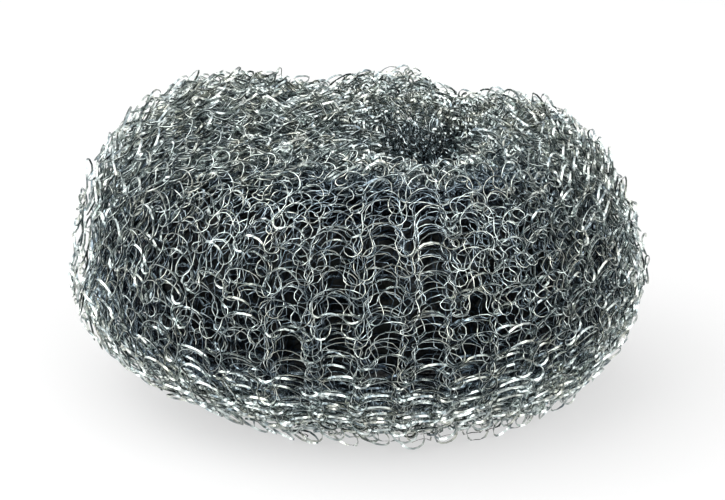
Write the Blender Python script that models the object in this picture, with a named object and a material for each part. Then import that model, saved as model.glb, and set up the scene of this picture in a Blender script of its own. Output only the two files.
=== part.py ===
"""Knitted scouring pad.

One tube knitted from flat zinc-coated steel wire, rolled over itself like a sock
until it is a puffed ring, with its middle pulled shut at the top and underneath.
Metres, +Z up. The origin is under the middle of the pad, on the surface it rests on.
"""

import math

import bpy
import numpy as np

# Overall form
PAD_WIDTH = 0.0750          # widest, along X
PAD_DEPTH = 0.0700          # front to back, along Y
EQUATOR_HEIGHT = 0.0146     # height of the widest place
CREST_HEIGHT = 0.0371
FOOT_SINK = 0.0002          # how far its own weight flattens the roll

# Where the crest rises or falls: bearing and spread in degrees, height
CREST_LOBES = (
    (169.0, 28.0, 0.0030),
    (152.0, 7.0, 0.0008),
    (114.0, 15.5, -0.0021),
    (62.5, 8.0, -0.0016),
    (53.0, 21.0, -0.0013),
    (-90.0, 60.0, -0.0007),
)

# The roll: a thick ring round a centre line
ROLL_RADIUS = 0.0165        # radius of that centre line
FRONT_SHOULDER = 0.0055     # along the upper front it is larger by this
FRONT_SPREAD = 50.0         # degrees to either side
PINCH_ANGLE = 2.76          # radians round the roll from the rim to where the pinch closes
LOWER_PINCH = (0.0095, -0.0030)     # how far from the middle it pulls shut, underneath
UPPER_PINCH = (0.0085, -0.0065)     # and at the top

# How square the roll's section is, as an exponent: 1 is an ellipse, less is fuller
INNER_FULLNESS = 0.80
UPPER_FULLNESS = 0.89
UPPER_LEANING = 0.125       # this much leaner at its leanest bearing, fuller opposite
UPPER_LEAN_BEARING = -9.0
LOWER_FULLNESS = 1.10
LOWER_LEANING = 0.18
LOWER_LEAN_BEARING = 190.0
LOWER_FRONT_LEANING = 0.075

# The knitting
WALES = 40                  # columns of stitches round the pad
STEPS_PER_WALE = 2
INNER_COURSES = 4           # rows of stitches from the lower pinch out to the foot
OUTER_COURSES = 25          # and from the foot over the rim and the crest to the upper pinch
STEPS_PER_COURSE = 2
RIDGE = 0.0014              # a row of loops stands this far above the rows beside it
WALE_GROOVE = 0.0006        # depth of the furrow between two columns
MIDDLE_RELIEF = 0.2         # share of both that is left where the columns crowd together
SCALLOP = 0.40              # how far a row arches in each column, in course pitches
UNEVEN = 0.00018            # loose knitting: how far a stitch strays
GATHERS = 11                # folds that run into each pinch
GATHER_DEPTH = 0.0017
GATHER_WANDER = 0.9         # how unevenly they are spaced, in radians of their own wave
GATHER_START = 1.6          # they fade in from here, in roll radii from the middle
GATHER_END = 0.33           # and out again from here
SEED = 7

ZINC = (0.46, 0.48, 0.48, 1.0)
ZINC_ROUGHNESS = 0.38

FULL_TURN = 2 * math.pi
FRONT = -90.0               # bearing, degrees
SMALL_STEP = 1e-4           # radians, for measuring slopes
ON_FLOOR = 1e-7             # lower than this a point lies on the floor


def clear_scene():
    for item in list(bpy.data.objects):
        bpy.data.objects.remove(item, do_unlink=True)


def hill(around, centre, spread):
    """A rounded hill of height 1 at one bearing round the pad, both angles in degrees."""
    away = np.angle(np.exp(1j * (around - math.radians(centre))))
    return np.exp(-((away / math.radians(spread)) ** 2))


def ease(share):
    """A smooth step from 0 to 1."""
    share = np.clip(share, 0.0, 1.0)
    return share * share * (3 - 2 * share)


def signed_power(value, exponent):
    return np.sign(value) * np.abs(value) ** exponent


def leaning(around, amount, bearing):
    """A cosine that is largest at one bearing, in degrees."""
    return amount * np.cos(around - math.radians(bearing))


def crest_lobes(around):
    """How much the crest is raised or lowered round the pad."""
    return sum(rise * hill(around, bearing, spread) for bearing, spread, rise in CREST_LOBES)


def skin(around, across):
    """The smooth outer skin that the loops reach, and each point's distance from the middle.

    around is the bearing round the pad. across is the angle round the roll: 0 at the
    rim, a quarter turn at the crest and beyond it down into the pinch; negative is
    the lower side. The upper half is fuller on the left, the lower half on the right.
    """
    side = np.cos(across)
    rise = np.sin(across)
    upper = across > 0
    front = hill(around, FRONT, FRONT_SPREAD)
    upper_fullness = UPPER_FULLNESS + leaning(around, UPPER_LEANING, UPPER_LEAN_BEARING)
    lower_fullness = LOWER_FULLNESS + leaning(around, LOWER_LEANING, LOWER_LEAN_BEARING)
    fullness = np.where(upper, upper_fullness, lower_fullness + LOWER_FRONT_LEANING * front)
    ring = ROLL_RADIUS + np.where(upper, FRONT_SHOULDER * front, 0)
    outward = (PAD_WIDTH / 2 - ring) * signed_power(np.maximum(side, 0), fullness)
    inward = ring * signed_power(np.minimum(side, 0), INNER_FULLNESS)
    radius = ring + outward + inward

    upper_rise = CREST_HEIGHT - EQUATOR_HEIGHT + crest_lobes(around) * ease(radius / ring)
    lower_rise = EQUATOR_HEIGHT + FOOT_SINK
    height = EQUATOR_HEIGHT + np.where(upper, upper_rise, lower_rise) * rise

    towards_pinch = ease(1 - radius / (PAD_WIDTH / 2))
    raised = ease(0.5 + 0.5 * rise)
    shift_x, shift_y = [low + (high - low) * raised for low, high in zip(LOWER_PINCH, UPPER_PINCH)]
    x = radius * np.cos(around) + shift_x * towards_pinch
    y = radius * np.sin(around) * PAD_DEPTH / PAD_WIDTH + shift_y * towards_pinch
    return np.stack([x, y, np.maximum(height, 0)], axis=-1), radius


def skin_normal(around, across):
    """Outward direction of the skin, from its two slopes."""
    slope_round = skin(around + SMALL_STEP, across)[0] - skin(around - SMALL_STEP, across)[0]
    slope_over = skin(around, across + SMALL_STEP)[0] - skin(around, across - SMALL_STEP)[0]
    normal = np.cross(slope_round, slope_over)
    return normal / np.maximum(np.linalg.norm(normal, axis=-1, keepdims=True), 1e-12)


def even_angles(bearings, start, end, courses):
    """Angles across the roll of the rows in one stretch, evenly spaced along the skin.

    One row of the result for each row of the mesh, one column for each bearing.
    """
    fine = np.linspace(start, end, 1001)
    profiles = skin(*np.meshgrid(bearings, fine))[0]
    steps = np.linalg.norm(np.diff(profiles, axis=0), axis=2)
    lengths = np.vstack([np.zeros(len(bearings)), np.cumsum(steps, axis=0)])
    even = np.linspace(0, 1, courses * STEPS_PER_COURSE + 1)
    return np.stack([np.interp(even * length[-1], length, fine) for length in lengths.T], axis=1)


def course_angles(bearings):
    """All rows' angles and their places in courses. The flat foot has no row but its edges."""
    foot_edge = math.asin(-EQUATOR_HEIGHT / (EQUATOR_HEIGHT + FOOT_SINK))
    inner = even_angles(bearings, -PINCH_ANGLE, -math.pi - foot_edge, INNER_COURSES)
    outer = even_angles(bearings, foot_edge, PINCH_ANGLE, OUTER_COURSES)
    inner_course = np.arange(len(inner)) / STEPS_PER_COURSE
    outer_course = np.arange(len(outer)) / STEPS_PER_COURSE
    return np.vstack([inner, outer]), np.concatenate([inner_course, outer_course])


def stitch_depths(around, course, radius, scatter):
    """How far each point lies under the skin: ridges, furrows, strays and gathers."""
    narrowing = ease(radius / ROLL_RADIUS)
    ridge = RIDGE * (0.5 - 0.5 * np.cos(FULL_TURN * course))
    furrow = WALE_GROOVE * (0.5 - 0.5 * np.cos(around * WALES))
    relief = (ridge + furrow) * (MIDDLE_RELIEF + (1 - MIDDLE_RELIEF) * narrowing)

    wander = GATHER_WANDER * (np.sin(2 * around) + np.sin(3 * around) / 2)
    fold = 0.5 - 0.5 * np.cos(GATHERS * around + wander)
    near_pinch = (ease(GATHER_START - radius / ROLL_RADIUS)
                  * ease(radius / (GATHER_END * ROLL_RADIUS)))
    return relief + UNEVEN * scatter * narrowing + GATHER_DEPTH * near_pinch * fold


def pad_points():
    """Grid of points, one row for each half course and two columns for each wale.

    Its first and last rows lie on the pinches. They are left out, for a point in each middle.
    """
    columns = WALES * STEPS_PER_WALE
    bearings = np.arange(columns) * FULL_TURN / columns
    across, course = course_angles(bearings)
    pinches = skin(bearings, across[0])[0], skin(bearings, across[-1])[0]

    course_step = np.gradient(across, axis=0)[1:-1] * STEPS_PER_COURSE
    across = across[1:-1]
    around = np.broadcast_to(bearings, across.shape)
    course = np.broadcast_to(course[1:-1, None], across.shape)
    chance = np.random.default_rng(SEED)
    scatter = chance.random(around.shape)
    sideways = chance.uniform(-1, 1, around.shape)
    level, radius = skin(around, across)
    off_floor = ease(level[..., 2] / RIDGE)
    narrowing = ease(radius / ROLL_RADIUS) * off_floor

    arch = SCALLOP * course_step * np.cos(around * WALES) * narrowing
    sway = sideways * UNEVEN / ROLL_RADIUS * narrowing
    depth = stitch_depths(around, course, radius, scatter) * off_floor
    points = skin(around + sway, across + arch)[0]
    points -= skin_normal(around, across) * depth[..., None]
    points[..., 2] = np.where(level[..., 2] < ON_FLOOR, 0, np.maximum(points[..., 2], 0))
    return points, pinches[0].mean(axis=0), pinches[1].mean(axis=0)


def grid_faces(rows, columns):
    """Quads between neighbouring rows, and a fan of triangles round each pinch point."""
    first, last = 0, rows * columns + 1

    def at(row, column):
        return 1 + row * columns + column % columns

    faces = []
    for column in range(columns):
        faces.append((first, at(0, column + 1), at(0, column)))
        faces.append((last, at(rows - 1, column), at(rows - 1, column + 1)))
        for row in range(rows - 1):
            faces.append((at(row, column), at(row, column + 1),
                          at(row + 1, column + 1), at(row + 1, column)))
    return faces


def centred(points):
    """Points moved so that the middle of their box stands over the origin."""
    middle = (points.min(axis=0) + points.max(axis=0)) / 2
    return points - [middle[0], middle[1], 0]


def zinc_material():
    material = bpy.data.materials.new("zinc_coated_wire")
    material.use_nodes = True
    shader = material.node_tree.nodes["Principled BSDF"]
    shader.inputs["Base Color"].default_value = ZINC
    shader.inputs["Metallic"].default_value = 1.0
    shader.inputs["Roughness"].default_value = ZINC_ROUGHNESS
    return material


def build_pad():
    points, lower_pinch, upper_pinch = pad_points()
    rows, columns = points.shape[:2]
    vertices = centred(np.vstack([lower_pinch, points.reshape(-1, 3), upper_pinch]))
    mesh = bpy.data.meshes.new("knitted_pad")
    mesh.from_pydata(vertices.tolist(), [], grid_faces(rows, columns))
    mesh.shade_smooth()
    mesh.materials.append(zinc_material())
    pad = bpy.data.objects.new("knitted_pad", mesh)
    bpy.context.scene.collection.objects.link(pad)
    return pad


clear_scene()
build_pad()
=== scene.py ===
"""The looks of the knitted scouring pad.

One tube knitted from flat zinc-coated wire is rolled over itself into a puffed ring.
The wire runs round the pad in loops, course after course, and the courses wind inwards
round the roll, turn inside turn. Metres, +Z up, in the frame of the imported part.

A place on the pad is a bearing round it (around), an angle over the roll (across: 0 at
the rim, a quarter turn at the crest) and a distance below the skin (inset). A loop's
phase is 0 at the tip of its lower arc and pi at the tip of its upper arc.
"""
import math
from collections import namedtuple

import bpy
import numpy as np
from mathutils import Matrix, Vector


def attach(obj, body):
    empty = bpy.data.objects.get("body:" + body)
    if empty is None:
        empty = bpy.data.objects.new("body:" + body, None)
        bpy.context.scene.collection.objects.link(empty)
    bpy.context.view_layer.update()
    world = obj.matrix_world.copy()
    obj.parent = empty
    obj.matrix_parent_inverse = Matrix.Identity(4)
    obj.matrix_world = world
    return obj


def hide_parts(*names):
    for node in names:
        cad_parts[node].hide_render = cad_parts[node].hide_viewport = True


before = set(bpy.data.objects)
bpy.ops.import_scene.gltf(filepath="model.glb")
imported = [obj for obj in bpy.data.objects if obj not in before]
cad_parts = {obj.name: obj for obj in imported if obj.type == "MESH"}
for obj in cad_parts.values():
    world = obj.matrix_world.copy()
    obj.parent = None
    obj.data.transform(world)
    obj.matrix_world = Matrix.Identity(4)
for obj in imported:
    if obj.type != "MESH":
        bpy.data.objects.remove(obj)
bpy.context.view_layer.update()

FULL_TURN = 2 * math.pi

# Overall form, as in the part
PAD_WIDTH = 0.0750          # widest, along X
PAD_DEPTH = 0.0700          # front to back, along Y
EQUATOR_HEIGHT = 0.0146     # height of the widest place
CREST_HEIGHT = 0.0371
FOOT_SINK = 0.0002          # how far its own weight flattens the roll
WALES = 40                  # columns of stitches round the pad

# Where the crest rises or falls: bearing and spread in degrees, height
CREST_LOBES = (
    (169.0, 28.0, 0.0030),
    (152.0, 7.0, 0.0008),
    (114.0, 15.5, -0.0021),
    (62.5, 8.0, -0.0016),
    (53.0, 21.0, -0.0013),
    (-90.0, 60.0, -0.0007),
)

# The roll: a thick ring round a centre line
ROLL_RADIUS = 0.0165        # radius of that centre line
FRONT_SHOULDER = 0.0055     # along the upper front it is larger by this
FRONT = -90.0               # bearing, degrees
FRONT_SPREAD = 50.0         # degrees to either side
LOWER_PINCH = (0.0095, -0.0030)     # how far from the middle it pulls shut, underneath
UPPER_PINCH = (0.0085, -0.0065)     # and at the top
SMALL_STEP = 1e-3           # radians, for measuring slopes

# How square the roll's section is, as an exponent: 1 is an ellipse, less is fuller
INNER_FULLNESS = 0.80
UPPER_FULLNESS = 0.89
UPPER_LEANING = 0.125       # this much leaner at its leanest bearing, fuller opposite
UPPER_LEAN_BEARING = -9.0
LOWER_FULLNESS = 1.10
LOWER_LEANING = 0.18
LOWER_LEAN_BEARING = 190.0
LOWER_FRONT_LEANING = 0.075

# The wire
WIRE_WIDTH = 0.00025
WIRE_THICKNESS = 0.000060
FLOOR_GAP = 0.00005         # the lowest wire lies this far above the table

# The turns of the roll, from the outside in: name, mesh steps in a loop, the wire's sides
TURNS = (
    ("outer_turn", 16, 4),
    ("second_turn", 18, 3),
    ("third_turn", 14, 3),
    ("inner_turn_4", 12, 3),
    ("inner_turn_5", 9, 3),
    ("inner_turn_6", 9, 3),
    ("inner_turn_7", 9, 3),
    ("inner_turn_8", 8, 3),
    ("inner_turn_9", 8, 3),
)
TIP_CROWDING = 0.25         # the steps are finer at the loops' tips: 0 for even steps
FIRST_INSET = 0.0003        # where the outermost turn begins, below the skin
TURN_GAP = 0.00053          # from one turn of the roll to the next
GAP_GROWTH = 0.000025       # deeper turns lie further apart
OPEN_MIDDLE = 0.0018        # radius of the hole left where the pad pulls shut
LEAST_RADIUS = 0.0020       # loops nearer the middle than this are sized as if they lay here
CORE_ROUNDS = 96            # mesh steps round the ring that stands for the deepest turns
CORE_OVERS = 48             # and over its roll

# Where the outermost turn stands off from the rest, at the left rim and along the pit's
# front lip: bearing and spread, angle over the roll and spread, in degrees, and the gap
LOOSE_PLACES = (
    (186.0, 20.0, 13.0, 15.0, 0.0020),
    (-64.0, 30.0, 105.0, 34.0, 0.0040),
    (-112.0, 16.0, 105.0, 28.0, 0.0028),
)
LOOSE_START = 0.5           # the gap opens from this many turns in, to one turn further

# The table of a turn's courses: bearings round the pad, steps over the roll, shares kept
BEARINGS = 48
OVER_STEPS = 801
SHARE_STEPS = 1001

# The loops
COURSE_PITCH = 0.0030       # at the rim
MIDDLE_PITCH = 0.70         # share of that pitch where the pad pulls shut
LOOP_REACH = 0.70           # from a course's middle to the tips of its loops, in course pitches
MIDDLE_REACH = 0.6          # share of that reach where the pad pulls shut
LOOP_LEAN = 0.148           # how far the legs lean under the arcs, in wale pitches
LOOP_WIDENING = 0.115       # upper arcs are wider than lower ones, in wale pitches
LOOP_POINT = 0.11           # keeps the arcs round: share of a third harmonic
LOOP_BOW = 0.00027          # the arcs stand this far proud of the legs
CRUMPLED_BOW = 0.00050      # and further where the columns crowd together
LOOP_STAND = 0.00034        # on the crest the upper arcs stand up by this, the lower ones sink
LIP_CALM = 0.80             # share of all that marks the crest, left out along the front lip

# Where the roll turns under
UNDER_START = 0.55          # from this share of the way down from the rim to the table
UNDER_SPAN = 0.35           # and fully after this share more
FOOT_WIDENING = 1.8         # share by which the lower arcs widen again
FOOT_REACH = 0.25           # and by which they reach further
STRAY_CALM = 0.5            # and by which loops stray less there, and stand off less on the crest
FRINGE = 0.0013             # the outer turn's lower arcs hang out by this along the lower edge
FRINGE_ANGLE = -58.0        # over the roll, in degrees
FRINGE_SPREAD = 15.0        # to either side

# Loose knitting
STRAY_ROUND = 0.00042       # how far a loop's tip strays round the pad
STRAY_OVER = 0.17           # the same over the roll, in course pitches
STRAY_OUT = 0.00025         # the same out of the fabric
REACH_SPREAD = 0.20         # share by which the loops' reach varies
DRIFT_ROUND = 0.11          # whole groups of stitches shift together, in wale pitches
DRIFT_OVER = 0.35           # the same over the roll, in course pitches
TURN_DRIFT = 0.25           # how far one turn strays from the others, in both pitches
DRIFT_WAVES = (2, 8)        # fewest waves of it round the pad, and one more than the most
RIPPLE = 0.00030            # the fabric's own waves, in and out
RIPPLE_WAVES = (9, 22)
TURN_RIPPLE = 0.00020       # and those of each turn
TURN_RIPPLE_WAVES = (12, 30)
CREST_CRUMPLE = 0.45        # the crest is crumpled by this share of the crowded middle's
CRUMPLE = 0.00023           # small bends there, six in a loop
KINK = 0.000006             # bends at every step along the wire

# How far the wire rolls about its own length, in radians
TWIST = 0.07                # from one tip of a loop to the next
SMALL_TWIST = 0.10          # four times in each loop
KINK_TWIST = 0.09           # at every step
TIP_TWIST = 0.45            # the wire turns its face outwards at the loops' tips by this
TIP_TWIST_SPREAD = 0.40     # give or take this
CRUMPLED_TWIST = 0.70       # eight times in each loop, on the crest and where columns crowd
CRUMPLED_KINKS = 0.12       # and at every step there

# Seeds: the pad's own, from which the turns count on, and what a turn adds for its waves
SEED = 11
TURN_ROUND_SEED = 100
TURN_OVER_SEED = 200
TURN_RIPPLE_SEED = 300

# Painted shade: the wire's colour is darkened from the outside in, where less light gets between
# the turns
PAINTED_SHADE_START = 1.0            # millimetres below the skin
PAINTED_SHADE_END = 5.9
CREST_PAINTED_LIGHT = 0.48          # share of the painted shade left out on the crest: painted light
CREST_PAINTED_DIMMING = 0.14        # share of its colour that all wire loses there: painted shade that dims the crest
FOOT_PAINTED_LIGHT = 0.28           # share of the painted shade left out near the table: painted light from the table's bounce
FOOT_RISE = 1.2             # how fast that sets in below the rim
PIT_SHADE_LEVEL = 0.0027          # in the upper pit all wire gets about the painted shade of this depth elsewhere
PIT_EVENNESS = 0.75         # by this share
PIT_RADIUS = 0.0160         # from this distance to the middle inwards
PIT_SLOPE = 0.0090          # and fully this much further in

# Zinc: position and colour of each stop, and how fine the patterns are, to the metre
ZINC_STOPS = ((0.35, (0.13, 0.16, 0.185)), (0.65, (0.75, 0.81, 0.83)))
ZINC_SCALE = 900
# colours of the painted shade from the skin to the depths: darker and cooler deeper in
DEPTH_SHADE_STOPS = ((0.0, (1.0, 0.99, 0.915)), (0.25, (0.645, 0.712, 0.765)),
              (1.0, (0.018, 0.030, 0.048)))
CAST_STOPS = ((0.33, (1.0, 0.955, 0.90)), (0.56, (0.945, 0.975, 1.0)))
CAST_SCALE = 330
ROUGHNESS = (0.10, 0.26)
DENT_SCALE = 2200
DENT_STRENGTH = 0.5
DENT_DEPTH = 0.00008
DEEP_PAINTED_SHADE = 0.014          # the ring in the depths has this share of the colour: painted shade, near black

# Camera, from the photograph's outline
CAMERA_ELEVATION = math.radians(20)
CAMERA_DISTANCE = 0.34
CAMERA_NEAR = 0.01          # nothing nearer than this is drawn
CAMERA_AIM = Vector((0.0006, 0.0, 0.0173))
FOCAL_PIXELS = 2620
IMAGE_WIDTH = 725
SENSOR = 36

# The studio: each lamp's name, place, size and power in watts, then floor and surroundings
LAMPS = (
    ("key_lamp", (-0.42, -0.16, 0.30), 0.74, 3.0),
    ("back_lamp", (-0.26, 0.34, 0.46), 0.60, 0.8),
    ("front_lamp", (0.36, -0.40, 0.24), 0.70, 3.3),
    ("top_lamp", (-0.14, -0.04, 0.60), 1.00, 3.8),
)
FLOOR_SIZE = 6.0
FLOOR_GREY = 0.28
FLOOR_GLOW = 0.58           # added where the camera or a reflection sees the floor
FLOOR_ROUGHNESS = 0.9
STUDIO_LIGHT = 0.35         # strength of the surroundings as light
STUDIO_SEEN = 1.0           # and where the camera or a reflection sees them

Row = namedtuple("Row", "wales phase bearing angle radius under crest crowding")
Stray = namedtuple("Stray", "longer round over out")


def hill(around, centre, spread):
    """exp(-(a/s)^2), where a is the angle from the centre bearing and s the spread."""
    away = np.angle(np.exp(1j * (around - math.radians(centre))))
    return np.exp(-((away / math.radians(spread)) ** 2))


def ease(share):
    """3s^2 - 2s^3, with s held between 0 and 1."""
    share = np.clip(share, 0.0, 1.0)
    return share * share * (3 - 2 * share)


def signed_power(value, exponent):
    """sign(v) |v|^e."""
    return np.sign(value) * np.abs(value) ** exponent


def leaning(around, amount, bearing):
    """a cos(angle from the bearing)."""
    return amount * np.cos(around - math.radians(bearing))


def unit(vectors):
    """v / |v|."""
    return vectors / np.maximum(np.linalg.norm(vectors, axis=-1, keepdims=True), 1e-12)


def crest_lobes(around):
    """Sum of the lobes' hills: how far the crest is raised or lowered at each bearing."""
    return sum(rise * hill(around, bearing, spread) for bearing, spread, rise in CREST_LOBES)


def ring_radius(around, upper):
    """Radius of the roll's centre line, larger along the upper front."""
    return ROLL_RADIUS + np.where(upper, FRONT_SHOULDER * hill(around, FRONT, FRONT_SPREAD), 0)


def roll_radius(around, across, inset):
    """Distance from the middle: ring radius + half width * cos^f, or - half width * |cos|^i."""
    side = np.cos(across)
    upper = np.sin(across) > 0
    upper_fullness = UPPER_FULLNESS + leaning(around, UPPER_LEANING, UPPER_LEAN_BEARING)
    lower_fullness = (LOWER_FULLNESS + leaning(around, LOWER_LEANING, LOWER_LEAN_BEARING)
                      + LOWER_FRONT_LEANING * hill(around, FRONT, FRONT_SPREAD))
    ring = ring_radius(around, upper)
    fullness = np.where(upper, upper_fullness, lower_fullness)
    outward = (PAD_WIDTH / 2 - ring - inset) * signed_power(np.maximum(side, 0), fullness)
    inward = (ring - inset) * signed_power(np.minimum(side, 0), INNER_FULLNESS)
    return np.maximum(ring + outward + inward, 0)


def roll_surface(around, across, inset):
    """The skin of the roll, or a turn inside it.

    A rounded section, half widths less the inset, is carried round a ring. Its crest
    rises and falls with the bearing, its fullness leans to one side of the pad, and its
    middle is shifted to where the pad pulls shut.
    """
    rise = np.sin(across)
    upper = rise > 0
    radius = roll_radius(around, across, inset)

    lobes = crest_lobes(around) * ease(radius / ring_radius(around, upper))
    upper_rise = CREST_HEIGHT - EQUATOR_HEIGHT + lobes - inset
    lower_rise = EQUATOR_HEIGHT + FOOT_SINK - inset
    height = EQUATOR_HEIGHT + np.where(upper, upper_rise, lower_rise) * rise

    towards_pinch = ease(1 - radius / (PAD_WIDTH / 2))
    raised = ease(0.5 + 0.5 * rise)
    shift_x, shift_y = [low + (high - low) * raised for low, high in zip(LOWER_PINCH, UPPER_PINCH)]
    x = radius * np.cos(around) + shift_x * towards_pinch
    y = radius * np.sin(around) * PAD_DEPTH / PAD_WIDTH + shift_y * towards_pinch
    return np.stack([x, y, height], axis=-1)


def surface_normal(around, across, inset):
    """Cross product of the surface's slope round the pad and its slope over the roll."""
    slope_round = (roll_surface(around + SMALL_STEP, across, inset)
                   - roll_surface(around - SMALL_STEP, across, inset))
    slope_over = (roll_surface(around, across + SMALL_STEP, inset)
                  - roll_surface(around, across - SMALL_STEP, inset))
    return unit(np.cross(slope_round, slope_over))


def inset_at(turns, around):
    """f + g T + h T^2 below the skin, T turns in, and further in at the loose places."""
    across = FULL_TURN * (turns % 1) - math.pi
    loose = sum(gap * hill(around, bearing, spread) * hill(across, angle, rise)
                for bearing, spread, angle, rise, gap in LOOSE_PLACES) * ease(turns - LOOSE_START)
    return FIRST_INSET + TURN_GAP * turns + GAP_GROWTH * turns ** 2 + loose


def turns_in(turn, across):
    """Whole turns from the outside, and the share of a turn at this angle over the roll."""
    return turn + (across + math.pi) / FULL_TURN


def course_table(turn):
    """Angles over the roll along one turn, and how many courses the turn holds.

    The table has a line for each bearing round the pad and evenly spaced shares of the
    turn along it. The turn starts and ends where the roll's inner side nears the middle.
    The pitch from course to course shrinks with the distance from the middle.
    """
    share = np.clip((ROLL_RADIUS - OPEN_MIDDLE) / (ROLL_RADIUS - inset_at(turn + 0.5, 0)), 0, 1)
    limit = math.acos(-share ** (1 / INNER_FULLNESS))
    around, across = np.meshgrid(np.linspace(0, FULL_TURN, BEARINGS + 1),
                                 np.linspace(-limit, limit, OVER_STEPS), indexing="ij")
    inset = inset_at(turns_in(turn, across), around)
    steps = np.linalg.norm(np.diff(roll_surface(around, across, inset), axis=1), axis=2)
    radius = roll_radius(around, across, inset)[:, 1:]
    pitch = COURSE_PITCH * (MIDDLE_PITCH + (1 - MIDDLE_PITCH) * ease(radius / (PAD_WIDTH / 2)))
    length = np.cumsum(steps / pitch, axis=1)
    length = np.hstack([np.zeros((BEARINGS + 1, 1)), length])
    even = np.linspace(0, 1, SHARE_STEPS)
    table = np.stack([np.interp(even, line / line[-1], across[0]) for line in length])
    return table, int(length[:, -1].mean())


def angle_at(table, around, share):
    """The table's angle at a bearing and a share of the turn, blended from its neighbours."""
    column = (around / FULL_TURN % 1) * (table.shape[0] - 1)
    row = np.clip(share, 0, 1) * (table.shape[1] - 1)
    left = np.minimum(column.astype(int), table.shape[0] - 2)
    below = np.minimum(row.astype(int), table.shape[1] - 2)
    column, row = column - left, row - below
    return ((table[left, below] * (1 - row) + table[left, below + 1] * row) * (1 - column)
            + (table[left + 1, below] * (1 - row) + table[left + 1, below + 1] * row) * column)


def drift(around, across, seed, waves=DRIFT_WAVES):
    """Sum of eight cosines of m a + n b + phase: a slow wander over the pad, about -1 to 1."""
    chance = np.random.default_rng(seed)
    total = 0
    for term in range(8):
        rounds, overs = chance.integers(*waves), chance.integers(-4, 5)
        total = total + np.cos(rounds * around + overs * across + chance.uniform(0, 7))
    return total / 4


def blended(values, position, shift, sharpness):
    """Random values at whole positions, blended along the wire by (0.5 + 0.5 cos)^s."""
    shifted = position - shift
    nearest = np.rint(shifted).astype(int)
    weight = (0.5 + 0.5 * np.cos(FULL_TURN * (shifted - nearest))) ** sharpness
    return values[nearest % len(values)] * weight


def tip_noise(chance, count, position, sharpness=1):
    """A random value at each whole and each half position, blended along the wire.

    With the position in wales, those are the tips of the lower and the upper arcs.
    """
    return (blended(chance.normal(0, 1, count), position, 0.0, sharpness)
            + blended(chance.normal(0, 1, count), position, 0.5, sharpness))


def row_along(table, turn, count, segments):
    """The middle line of the courses at each step of the wire, and what is near it.

    under is 1 where the roll turns under, crest is 1 on the crest but less along the
    front lip, and crowding is 1 where the columns crowd together in the middle.
    """
    even = np.arange(count * segments + 1) / segments
    wales = even - TIP_CROWDING * np.sin(2 * FULL_TURN * even) / (2 * FULL_TURN)
    phase = FULL_TURN * wales
    bearing = phase / WALES
    angle = angle_at(table, bearing, wales / count)
    inset = inset_at(turns_in(turn, angle), bearing)
    radius = np.maximum(roll_radius(bearing, angle, inset), LEAST_RADIUS)
    under = ease((-np.sin(angle) - UNDER_START) / UNDER_SPAN)
    crest = ease(np.sin(angle)) * (1 - LIP_CALM * hill(bearing, FRONT, FRONT_SPREAD))
    crowding = np.maximum(1 - ease(radius / (PAD_WIDTH / 2)), CREST_CRUMPLE * crest)
    return Row(wales, phase, bearing, angle, radius, under, crest, crowding)


def stray_along(row, chance, count):
    """Each tip's random share of reach, and its random shift round, over and outwards."""
    longer = 1 + REACH_SPREAD * tip_noise(chance, count, row.wales)
    sideways = STRAY_ROUND / row.radius * tip_noise(chance, count, row.wales)
    over = STRAY_OVER * tip_noise(chance, count, row.wales)
    out = STRAY_OUT * tip_noise(chance, count, row.wales)
    sideways *= 1 - STRAY_CALM * row.under
    out *= 1 - STRAY_CALM * np.maximum(row.under, row.crest)
    return Stray(longer, sideways, over, out)


def twist_along(row, chance, count):
    """Radians that the wire is rolled from standing on edge: m cos^4 phase and random rolls."""
    wales, steps = row.wales, len(row.wales)
    twist = TWIST * tip_noise(chance, count, wales)
    twist += SMALL_TWIST * tip_noise(chance, 2 * count, 2 * wales)
    facing = TIP_TWIST + TIP_TWIST_SPREAD * tip_noise(chance, count, wales, 2)
    twist += facing * np.cos(row.phase) ** 4
    twist += KINK_TWIST * chance.normal(0, 1, steps)
    twist += CRUMPLED_TWIST * row.crowding * tip_noise(chance, 4 * count, 4 * wales)
    twist += CRUMPLED_KINKS * row.crowding * chance.normal(0, 1, steps)
    return twist


def loop_places(row, stray, table, courses, seed):
    """Bearing and angle over the roll of the wire, t wales along it.

    Across the wale t + l sin 2 phase - w sin phase, up the wale
    r (cos phase + p cos 3 phase) / (1 + p) towards the lower arc's tip, each with the
    drift of the pad, the drift of the turn and the tips' own stray.
    """
    widening = LOOP_WIDENING * (1 - FOOT_WIDENING * row.under)
    wale = row.wales + LOOP_LEAN * np.sin(2 * row.phase) - widening * np.sin(row.phase)
    wale += DRIFT_ROUND * drift(row.bearing, row.angle, SEED)
    wale += TURN_DRIFT * drift(row.bearing, row.angle, seed + TURN_ROUND_SEED)
    over = DRIFT_OVER * drift(row.bearing, row.angle, SEED + 1)
    over += TURN_DRIFT * drift(row.bearing, row.angle, seed + TURN_OVER_SEED)

    narrowing = ease(row.radius / ROLL_RADIUS)
    reach = LOOP_REACH * (MIDDLE_REACH + (1 - MIDDLE_REACH) * narrowing) * stray.longer
    reach *= 1 + FOOT_REACH * row.under
    drop = reach * (np.cos(row.phase) + LOOP_POINT * np.cos(3 * row.phase)) / (1 + LOOP_POINT)
    around = FULL_TURN * wale / WALES + stray.round
    courses_up = row.wales / WALES - drop + stray.over + over
    return around, angle_at(table, around, courses_up / courses)


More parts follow.
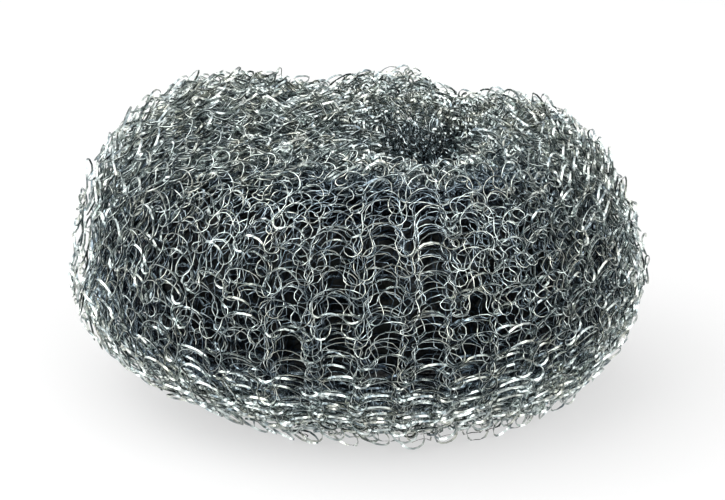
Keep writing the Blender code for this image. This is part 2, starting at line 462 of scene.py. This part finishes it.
def standing_out(row, stray, turn, around, across, seed):
    """How far the wire stands out of the fabric: b cos 2 phase - s cos phase on the crest.

    The outermost turn's lower arcs hang out along the lower edge, and the tips' stray
    and the ripples of the fabric and of the turn are added.
    """
    bow = (LOOP_BOW + CRUMPLED_BOW * row.crowding) * np.cos(2 * row.phase)
    bow -= LOOP_STAND * row.crest * np.cos(row.phase)
    if turn == 0:
        lower_arc = 0.5 + 0.5 * np.cos(row.phase)
        bow += FRINGE * (hill(row.angle, FRINGE_ANGLE, FRINGE_SPREAD) * lower_arc)
    ripple = RIPPLE * drift(around, across, SEED + 2, RIPPLE_WAVES)
    ripple += TURN_RIPPLE * drift(around, across, seed + TURN_RIPPLE_SEED, TURN_RIPPLE_WAVES)
    return bow + stray.out + ripple


def wire_rings(points, normal, twist, sides):
    """Corners of the flat wire at each point: plus and minus half its width and thickness.

    Its width lies along the normal, turned by the twist about the wire's own length.
    Three sides make a wedge, which is enough for the inner turns.
    """
    tangent = unit(np.gradient(points, axis=0))
    broad = normal * np.cos(twist)[:, None] + np.cross(tangent, normal) * np.sin(twist)[:, None]
    broad = unit(broad - tangent * np.sum(broad * tangent, axis=1, keepdims=True))
    thin = np.cross(tangent, broad)
    broad = broad * WIRE_WIDTH / 2
    thin = thin * WIRE_THICKNESS / 2
    if sides == 4:
        corners = [broad + thin, thin - broad, -broad - thin, broad - thin]
    else:
        corners = [broad + thin, -broad, broad - thin]
    rings = np.stack([points + corner for corner in corners], axis=1)
    rings[..., 2] = np.maximum(rings[..., 2], FLOOR_GAP)
    return rings


def painted_shade_depth(row, around, across, inset):
    """Depth that sets the wire's painted shade: i (1 - c crest - f foot), levelled in the pit."""
    foot = ease(-FOOT_RISE * np.sin(row.angle))
    # painted light: less painted shade on the crest and near the table
    depth = inset * (1 - CREST_PAINTED_LIGHT * row.crest - FOOT_PAINTED_LIGHT * foot)
    inside_pit = ease((PIT_RADIUS - roll_radius(around, across, inset)) / PIT_SLOPE)
    # painted shade in the upper pit: evened out, the outer wire darker and the deeper wire lighter
    return depth + (PIT_SHADE_LEVEL - depth) * PIT_EVENNESS * (across > 0) * inside_pit


def knitted_wire(name, turn, segments, sides, seed):
    """The wire of one turn of the roll, swept along its loops and bent at random."""
    table, courses = course_table(turn)
    count = courses * WALES
    chance = np.random.default_rng(seed)
    row = row_along(table, turn, count, segments)
    stray = stray_along(row, chance, count)
    twist = twist_along(row, chance, count)

    around, across = loop_places(row, stray, table, courses, seed)
    inset = inset_at(turns_in(turn, across), around)
    points = roll_surface(around, across, inset)
    normal = surface_normal(around, across, inset)
    points += normal * standing_out(row, stray, turn, around, across, seed)[:, None]
    points += KINK * chance.normal(0, 1, points.shape)
    for axis in range(3):
        points[:, axis] += CRUMPLE * row.crowding * tip_noise(chance, 3 * count, 3 * row.wales)

    rings = wire_rings(points, normal, twist, sides)
    # painted shade by depth, with painted light on the crest and near the table
    depth = painted_shade_depth(row, around, across, inset)
    # painted shade that dims the crest's wire
    return swept_wire(name, rings, depth, CREST_PAINTED_DIMMING * row.crest)


def new_piece(name, points, faces):
    """A smooth-shaded object at the origin."""
    mesh = bpy.data.meshes.new(name)
    mesh.from_pydata(points.reshape(-1, 3), [], faces)
    mesh.shade_smooth()
    piece = bpy.data.objects.new(name, mesh)
    bpy.context.scene.collection.objects.link(piece)
    return piece


def add_attribute(mesh, name, kind, domain, values):
    """Stores one value for each point or edge of the mesh."""
    mesh.attributes.new(name, kind, domain).data.foreach_set("value", values)


def swept_wire(name, rings, depth, painted_dimming):
    """A closed tube through rings of corners, with sharp edges along its length.

    Each corner carries the depth that sets its ring's painted shade, in millimetres, and its
    painted crest dimming.
    """
    steps, sides = rings.shape[:2]
    ring = np.arange(steps - 1)[:, None] * sides
    corner = np.arange(sides)[None, :]
    after = (corner + 1) % sides
    quads = np.stack([ring + corner, ring + sides + corner,
                      ring + sides + after, ring + after], axis=-1).reshape(-1, 4)
    last = (steps - 1) * sides
    caps = [tuple(range(sides)), tuple(range(last + sides - 1, last - 1, -1))]
    piece = new_piece(name, rings, quads.tolist() + caps)

    mesh = piece.data
    ends = np.empty(len(mesh.edges) * 2, dtype=np.int32)
    mesh.edges.foreach_get("vertices", ends)
    ends = ends.reshape(-1, 2)
    along = np.abs(ends[:, 0] - ends[:, 1]) == sides
    add_attribute(mesh, "sharp_edge", "BOOLEAN", "EDGE", along)
    add_attribute(mesh, "painted_shade_depth_mm", "FLOAT", "POINT", np.repeat(depth * 1000, sides))
    add_attribute(mesh, "painted_dimming", "FLOAT", "POINT", np.repeat(painted_dimming, sides))
    return piece


def inner_core(turns):
    """The turns too deep to see apart: one closed ring inside the last knitted turn."""
    around, across = np.meshgrid(np.arange(CORE_ROUNDS) * FULL_TURN / CORE_ROUNDS,
                                 np.arange(CORE_OVERS) * FULL_TURN / CORE_OVERS, indexing="ij")
    points = roll_surface(around, across, inset_at(turns, around))
    i, j = np.meshgrid(np.arange(CORE_ROUNDS), np.arange(CORE_OVERS), indexing="ij")
    next_i, next_j = (i + 1) % CORE_ROUNDS, (j + 1) % CORE_OVERS
    quads = np.stack([i * CORE_OVERS + j, next_i * CORE_OVERS + j,
                      next_i * CORE_OVERS + next_j, i * CORE_OVERS + next_j], axis=-1)
    return new_piece("inner_core", points, quads.reshape(-1, 4).tolist())


def noise(nodes, links, scale, detail):
    """Noise on Object coordinates, 0 to 1."""
    place = nodes.new("ShaderNodeTexCoord")
    texture = nodes.new("ShaderNodeTexNoise")
    texture.inputs["Scale"].default_value = scale
    texture.inputs["Detail"].default_value = detail
    links.new(place.outputs["Object"], texture.inputs["Vector"])
    return texture.outputs["Fac"]


def attribute(nodes, name):
    """A value that the piece's mesh carries, or 0 where it carries none."""
    reader = nodes.new("ShaderNodeAttribute")
    reader.attribute_name = name
    return reader.outputs["Fac"]


def remapped(nodes, links, value, from_range, to_range, interpolation="LINEAR"):
    """A value taken from one range to another and held there."""
    remap = nodes.new("ShaderNodeMapRange")
    remap.interpolation_type = interpolation
    remap.inputs["From Min"].default_value, remap.inputs["From Max"].default_value = from_range
    remap.inputs["To Min"].default_value, remap.inputs["To Max"].default_value = to_range
    links.new(value, remap.inputs["Value"])
    return remap.outputs["Result"]


def coloured(nodes, links, value, stops):
    """Colours blended from stop to stop, for values from 0 to 1."""
    node = nodes.new("ShaderNodeValToRGB")
    ramp = node.color_ramp.elements
    for element, (position, colour) in ((ramp[0], stops[0]), (ramp[1], stops[-1])):
        element.position = position
        element.color = (*colour, 1)
    for position, colour in stops[1:-1]:
        ramp.new(position).color = (*colour, 1)
    links.new(value, node.inputs["Fac"])
    return node.outputs["Color"]


def multiplied(nodes, links, colour, other):
    """Product of two colours, channel by channel."""
    product = nodes.new("ShaderNodeVectorMath")
    product.operation = "MULTIPLY"
    links.new(colour, product.inputs[0])
    links.new(other, product.inputs[1])
    return product.outputs["Vector"]


def scaled(nodes, links, colour, share):
    """A colour times one value."""
    product = nodes.new("ShaderNodeVectorMath")
    product.operation = "SCALE"
    links.new(colour, product.inputs[0])
    links.new(share, product.inputs["Scale"])
    return product.outputs["Vector"]


def zinc(name, shade):
    """Zinc-coated wire, with painted shade by its depth and painted dimming on the crest.

    Colour: shade * zinc(fine noise) * depth shade(depth) * cast(coarse noise) * (1 - crest
    dimming).
    The depth shade is painted shade that darkens and cools the deeper wire, a shade below 1 is
    painted shade over the whole colour, and the cast is a little warm or cool.
    """
    material = bpy.data.materials.new(name)
    material.use_nodes = True
    nodes, links = material.node_tree.nodes, material.node_tree.links
    shader = nodes["Principled BSDF"]
    shader.inputs["Metallic"].default_value = 1.0

    grain = noise(nodes, links, ZINC_SCALE, 2)
    stops = [(position, [shade * part for part in colour]) for position, colour in ZINC_STOPS]
    bare = coloured(nodes, links, grain, stops)
    # painted shade: the wire's colour darkens with the depth it carries
    depth_shading = remapped(nodes, links, attribute(nodes, "painted_shade_depth_mm"), (PAINTED_SHADE_START, PAINTED_SHADE_END),
                       (0.0, 1.0), "SMOOTHERSTEP")
    depth_shade = coloured(nodes, links, depth_shading, DEPTH_SHADE_STOPS)
    cast = coloured(nodes, links, noise(nodes, links, CAST_SCALE, 1), CAST_STOPS)
    # painted shade: the crest's wire keeps this share of its colour
    kept = remapped(nodes, links, attribute(nodes, "painted_dimming"), (0.0, 1.0), (1.0, 0.0))
    tinted = multiplied(nodes, links, multiplied(nodes, links, bare, depth_shade), cast)
    links.new(scaled(nodes, links, tinted, kept), shader.inputs["Base Color"])
    rough = remapped(nodes, links, grain, (0.0, 1.0), ROUGHNESS)
    links.new(rough, shader.inputs["Roughness"])

    bump = nodes.new("ShaderNodeBump")
    bump.inputs["Strength"].default_value = DENT_STRENGTH
    bump.inputs["Distance"].default_value = DENT_DEPTH
    links.new(noise(nodes, links, DENT_SCALE, 1), bump.inputs["Height"])
    links.new(bump.outputs["Normal"], shader.inputs["Normal"])
    return material


def greatest(nodes, links, value, other):
    """The larger of two values."""
    larger = nodes.new("ShaderNodeMath")
    larger.operation = "MAXIMUM"
    links.new(value, larger.inputs[0])
    links.new(other, larger.inputs[1])
    return larger.outputs["Value"]


def seen_directly(nodes, links):
    """1 for the rays that show the background: camera, glossy and transmission rays."""
    rays = nodes.new("ShaderNodeLightPath").outputs
    camera_or_glossy = greatest(nodes, links, rays["Is Camera Ray"], rays["Is Glossy Ray"])
    return greatest(nodes, links, camera_or_glossy, rays["Is Transmission Ray"])


def make_floor():
    """A wide pale floor. It shows white to the camera and keeps the pad's shadow."""
    bpy.ops.mesh.primitive_plane_add(size=FLOOR_SIZE)
    floor = bpy.context.object
    floor.name = "floor"
    material = bpy.data.materials.new("pale_floor")
    material.use_nodes = True
    nodes, links = material.node_tree.nodes, material.node_tree.links
    shader = nodes["Principled BSDF"]
    shader.inputs["Base Color"].default_value = (FLOOR_GREY, FLOOR_GREY, FLOOR_GREY, 1)
    shader.inputs["Roughness"].default_value = FLOOR_ROUGHNESS
    shader.inputs["Emission Color"].default_value = (1, 1, 1, 1)
    glow = remapped(nodes, links, seen_directly(nodes, links), (0.0, 1.0), (0.0, FLOOR_GLOW))
    links.new(glow, shader.inputs["Emission Strength"])
    floor.data.materials.append(material)


def make_studio():
    """Surroundings that are white where the camera or a reflection sees them, softer as light."""
    world = bpy.data.worlds.new("studio")
    bpy.context.scene.world = world
    world.use_nodes = True
    nodes, links = world.node_tree.nodes, world.node_tree.links
    background = nodes["Background"]
    background.inputs["Color"].default_value = (1, 1, 1, 1)
    strength = remapped(nodes, links, seen_directly(nodes, links), (0.0, 1.0),
                        (STUDIO_LIGHT, STUDIO_SEEN))
    links.new(strength, background.inputs["Strength"])


def make_lamp(name, place, size, power):
    """A square soft lamp aimed at the pad."""
    lamp = bpy.data.lights.new(name, "AREA")
    lamp.size = size
    lamp.energy = power
    holder = bpy.data.objects.new(name, lamp)
    holder.location = place
    holder.rotation_euler = (CAMERA_AIM - Vector(place)).to_track_quat("-Z", "Y").to_euler()
    bpy.context.scene.collection.objects.link(holder)


def make_camera():
    """The photograph's view: level round the pad, a little above it."""
    camera = bpy.data.cameras.new("camera")
    camera.sensor_width = SENSOR
    camera.lens = FOCAL_PIXELS / IMAGE_WIDTH * SENSOR
    camera.clip_start = CAMERA_NEAR
    holder = bpy.data.objects.new("camera", camera)
    towards = Vector((0, -math.cos(CAMERA_ELEVATION), math.sin(CAMERA_ELEVATION)))
    holder.location = CAMERA_AIM + towards * CAMERA_DISTANCE
    holder.rotation_euler = (-towards).to_track_quat("-Z", "Y").to_euler()
    bpy.context.scene.collection.objects.link(holder)
    bpy.context.scene.camera = holder


def dress(piece, material):
    """Gives a piece its material and puts it in the place of the plain solid."""
    piece.data.materials.append(material)
    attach(piece, "root")
    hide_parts("knitted_pad")


def make_pad():
    """All turns of the roll, finest outside, and the ring that closes the depths."""
    wire = zinc("zinc_wire", 1.0)
    for turn, (name, segments, sides) in enumerate(TURNS):
        dress(knitted_wire(name, turn, segments, sides, SEED + turn), wire)
    # the ring in the depths is painted near black: painted shade
    dress(inner_core(len(TURNS)), zinc("deep_wire_painted_shade", DEEP_PAINTED_SHADE))


bpy.context.scene.view_settings.view_transform = "Standard"
make_camera()
make_studio()
make_floor()
for name, place, size, power in LAMPS:
    make_lamp(name, place, size, power)
make_pad()
